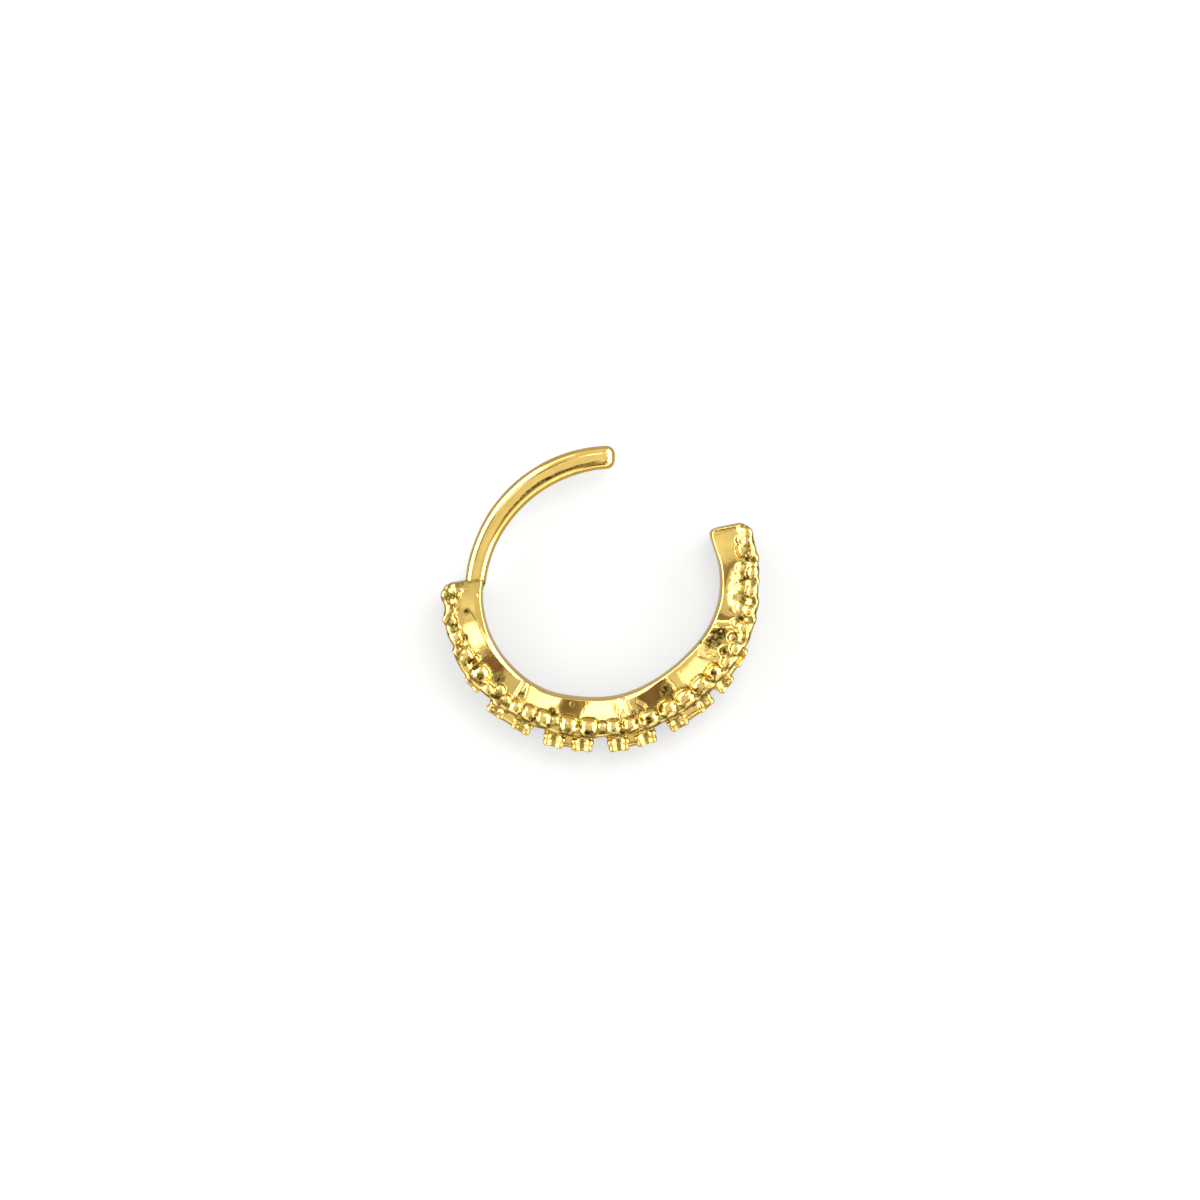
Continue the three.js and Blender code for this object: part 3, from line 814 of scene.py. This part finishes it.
# ---------------------------------------------------------------- studio
def studio_card():
    """Group: a mask that is 1 inside a rectangle of directions, given by azimuth and angle from the
    zenith in degrees, and falls to 0 over its edge."""
    tree, given, out = new_group(
        "studio card",
        [("Direction", "NodeSocketVector", None), ("Azimuth", "NodeSocketFloat", 0.0),
         ("Half width", "NodeSocketFloat", 10.0), ("Zenith", "NodeSocketFloat", 45.0),
         ("Half height", "NodeSocketFloat", 10.0), ("Edge", "NodeSocketFloat", 2.0)],
        [("Mask", "NodeSocketFloat")])
    back = sum_of(tree, given["Azimuth"], -math.pi / 180, "MULTIPLY")
    turned = node(tree, "ShaderNodeVectorRotate", None,
                  {"Vector": given["Direction"], "Angle": back}, rotation_type="Z_AXIS")
    parts = node(tree, "ShaderNodeSeparateXYZ", None, {0: turned.outputs[0]}).outputs
    azimuth = sum_of(tree, sum_of(tree, parts["Y"], parts["X"], "ARCTAN2"), 180 / math.pi, "MULTIPLY")
    aside = sum_of(tree, azimuth, 0.0, "ABSOLUTE")
    zenith = sum_of(tree, sum_of(tree, parts["Z"], 0.0, "ARCCOSINE"), 180 / math.pi, "MULTIPLY")
    above = sum_of(tree, sum_of(tree, zenith, given["Zenith"], "SUBTRACT"), 0.0, "ABSOLUTE")
    masks = []
    for value, half in ((aside, given["Half width"]), (above, given["Half height"])):
        outer = sum_of(tree, half, given["Edge"])
        fall = node(tree, "ShaderNodeMapRange", {"To Min": 1.0, "To Max": 0.0},
                    {"Value": value, "From Min": half, "From Max": outer}, interpolation_type="SMOOTHSTEP")
        masks.append(fall.outputs["Result"])
    tree.links.new(sum_of(tree, masks[0], masks[1], "MULTIPLY"), out["Mask"])
    return tree


WHITE = (1, 0.99, 0.96)
UMBER = (0.5, 0.36, 0.2)
SAND = (0.6, 0.48, 0.36)
# Cards around the studio: azimuth, half width, zenith, half height, edge, colour, strength
CARDS = [
    (270, 60, 78, 12, 6, (1, 0.98, 0.92), 1.6),
    (165, 42, 71, 20, 4, WHITE, 5.5),
    (14, 44, 71, 20, 4, WHITE, 5.5),
    (113.5, 8.0, 71, 5, 1, WHITE, 3.0),
    (270, 13, 61, 8, 5, UMBER, 0.4),
    (19.4, 7.2, 34.5, 4, 1.0, WHITE, 3.2),
    (37.6, 6.2, 34, 4, 1.5, (0.52, 0.33, 0.22), 0.42),
    (64.0, 5.8, 33.5, 4, 0.7, WHITE, 3.6),
    (78.2, 7.2, 33.3, 4, 0.7, (0.55, 0.42, 0.27), 0.5),
    (92.9, 6.7, 33.2, 4, 0.7, WHITE, 3.4),
    (118.3, 8.0, 33.5, 4, 1.5, (0.52, 0.38, 0.24), 0.42),
    (139.6, 5.3, 34, 4, 0.7, WHITE, 2.4),
    (149.0, 3.4, 34.3, 4, 0.7, WHITE, 1.6),
    (156.7, 3.4, 34.6, 4, 1.0, (0.3, 0.25, 0.16), 0.3),
    (166.6, 3.4, 35.1, 4, 1.5, SAND, 0.42),
    (184.5, 2.5, 35.8, 3, 4.0, SAND, 0.6),
    (302, 24, 41, 5, 2, UMBER, 0.3),
]
BASE_LIGHT = (0.88, 0.85, 0.74)
# How uneven the base light and the cards are: scale of the noise, its share, the even rest
BASE_CLOUD = (3.5, 1.1, 0.45)
CARD_CLOUD = (14.0, 1.4, 0.3)
FLOOR_LIGHT = 0.98


def studio():
    """The world: an even light with bright and dark cards for the metal to reflect. The camera itself
    sees a plain pale backdrop."""
    world = bpy.data.worlds.new("studio")
    bpy.context.scene.world = world
    world.use_nodes = True
    tree = world.node_tree
    tree.nodes.clear()
    card = studio_card()
    direction = node(tree, "ShaderNodeTexCoord").outputs["Generated"]
    cloud = node(tree, "ShaderNodeTexNoise", {"Scale": BASE_CLOUD[0], "Detail": 2.0}, {"Vector": direction})
    shade = sum_of(tree, sum_of(tree, cloud.outputs["Fac"], BASE_CLOUD[1], "MULTIPLY"), BASE_CLOUD[2])
    base = tree.nodes.new("ShaderNodeVectorMath")
    base.operation = "SCALE"
    base.inputs[0].default_value = BASE_LIGHT
    tree.links.new(shade, base.inputs["Scale"])
    light = base.outputs[0]
    blotch = node(tree, "ShaderNodeTexNoise", {"Scale": CARD_CLOUD[0], "Detail": 3.0}, {"Vector": direction})
    mottle = sum_of(tree, sum_of(tree, blotch.outputs["Fac"], CARD_CLOUD[1], "MULTIPLY"), CARD_CLOUD[2])
    for azimuth, half_width, zenith, half_height, edge, colour, strength in CARDS:
        group = node(tree, "ShaderNodeGroup", None, None, node_tree=card)
        for key, value in (("Azimuth", azimuth), ("Half width", half_width), ("Zenith", zenith),
                           ("Half height", half_height), ("Edge", edge)):
            group.inputs[key].default_value = value
        tree.links.new(direction, group.inputs["Direction"])
        mix = tree.nodes.new("ShaderNodeMix")
        mix.data_type = "RGBA"
        mix.clamp_result = False
        tree.links.new(group.outputs["Mask"], mix.inputs[0])
        tree.links.new(light, mix.inputs[6])
        uneven = tree.nodes.new("ShaderNodeVectorMath")
        uneven.operation = "SCALE"
        uneven.inputs[0].default_value = tuple(c * strength for c in colour)
        tree.links.new(mottle, uneven.inputs["Scale"])
        tree.links.new(uneven.outputs[0], mix.inputs[7])
        light = mix.outputs[2]
    lit = node(tree, "ShaderNodeBackground", None, {"Color": light})
    plain = node(tree, "ShaderNodeBackground", {"Color": (FLOOR_LIGHT,) * 3 + (1,)})
    seen = node(tree, "ShaderNodeLightPath").outputs["Is Camera Ray"]
    mixed = node(tree, "ShaderNodeMixShader", None, {0: seen, 1: lit.outputs[0], 2: plain.outputs[0]})
    output = tree.nodes.new("ShaderNodeOutputWorld")
    tree.links.new(mixed.outputs[0], output.inputs["Surface"])


KEY_AZIMUTH = 68
KEY_ELEVATION = 60
KEY_DISTANCE = 0.3
KEY_SIZE = 0.16
KEY_POWER = 0.5


def key_light():
    """A large soft light from the upper right, high above."""
    azimuth, elevation, far = math.radians(KEY_AZIMUTH), math.radians(KEY_ELEVATION), KEY_DISTANCE
    light = bpy.data.lights.new("key", "AREA")
    light.shape = "DISK"
    light.size = KEY_SIZE
    light.energy = KEY_POWER
    lamp = bpy.data.objects.new("key", light)
    bpy.context.scene.collection.objects.link(lamp)
    flat = far * math.cos(elevation)
    lamp.location = (flat * math.cos(azimuth), flat * math.sin(azimuth), far * math.sin(elevation))
    lamp.rotation_euler = (math.pi / 2 - elevation, 0, azimuth + math.pi / 2)
    lamp.visible_glossy = False


FLOOR_HALF = 0.6
FLOOR_GREY = 0.27
FLOOR_GLOW = 0.53
FLOOR_REFLECTED = (0.55, 0.5, 0.4, 1)


def floor():
    """A flat sheet of white paper, far larger than the cuff. It glows a little, so that shadows stay pale,
    and the metal sees it dimmer and warmer than the camera does."""
    half = FLOOR_HALF
    mesh = bpy.data.meshes.new("floor")
    mesh.from_pydata([(-half, -half, 0), (half, -half, 0), (half, half, 0), (-half, half, 0)], [],
                     [(0, 1, 2, 3)])
    sheet = bpy.data.objects.new("floor", mesh)
    bpy.context.scene.collection.objects.link(sheet)
    paper = bpy.data.materials.new("white paper")
    paper.use_nodes = True
    shader = paper.node_tree.nodes["Principled BSDF"]
    shader.inputs["Base Color"].default_value = (FLOOR_GREY, FLOOR_GREY, FLOOR_GREY, 1)
    shader.inputs["Emission Color"].default_value = (1, 1, 1, 1)
    shader.inputs["Emission Strength"].default_value = FLOOR_GLOW
    shader.inputs["Roughness"].default_value = 0.9
    shader.inputs["Specular IOR Level"].default_value = 0.0
    tree = paper.node_tree
    dim = node(tree, "ShaderNodeEmission", {"Color": FLOOR_REFLECTED, "Strength": 1.0})
    glossy = node(tree, "ShaderNodeLightPath").outputs["Is Glossy Ray"]
    mixed = node(tree, "ShaderNodeMixShader", None, {0: glossy, 1: shader.outputs[0], 2: dim.outputs[0]})
    tree.links.new(mixed.outputs[0], tree.nodes["Material Output"].inputs["Surface"])
    mesh.materials.append(paper)


VIEW_WIDTH = 50.9 * MM  # what the picture spans at the height of the ring's middle
LENS = 100.0
SENSOR = 36.0
CAMERA_TILT = 3.0  # degrees from straight above, towards +Y
AIM = (0.165, -1.056, 0)  # what it looks at, from the ring's centre, in millimetres


def camera():
    """A long lens that looks down along the ring's axis."""
    data = bpy.data.cameras.new("camera")
    data.lens = LENS
    data.sensor_width = SENSOR
    eye = bpy.data.objects.new("camera", data)
    bpy.context.scene.collection.objects.link(eye)
    target = RING_CENTRE + np.array(AIM) * MM
    far = VIEW_WIDTH * LENS / SENSOR
    tilt = math.radians(CAMERA_TILT)
    eye.location = target + far * np.array([0, math.sin(tilt), math.cos(tilt)])
    eye.rotation_euler = (-tilt, 0, 0)
    data.clip_start = 0.005
    data.clip_end = 5
    bpy.context.scene.camera = eye


floor()
key_light()
studio()
camera()
bpy.context.scene.view_settings.view_transform = "Standard"
bpy.context.scene.cycles.caustics_reflective = False

for piece, material in ((band(), band_gold), (collets(), collet_gold), (webs(), collet_gold),
                        (arm(), arm_gold)):
    piece.data.materials.append(material)
    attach(piece, "root")
    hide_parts("cuff")
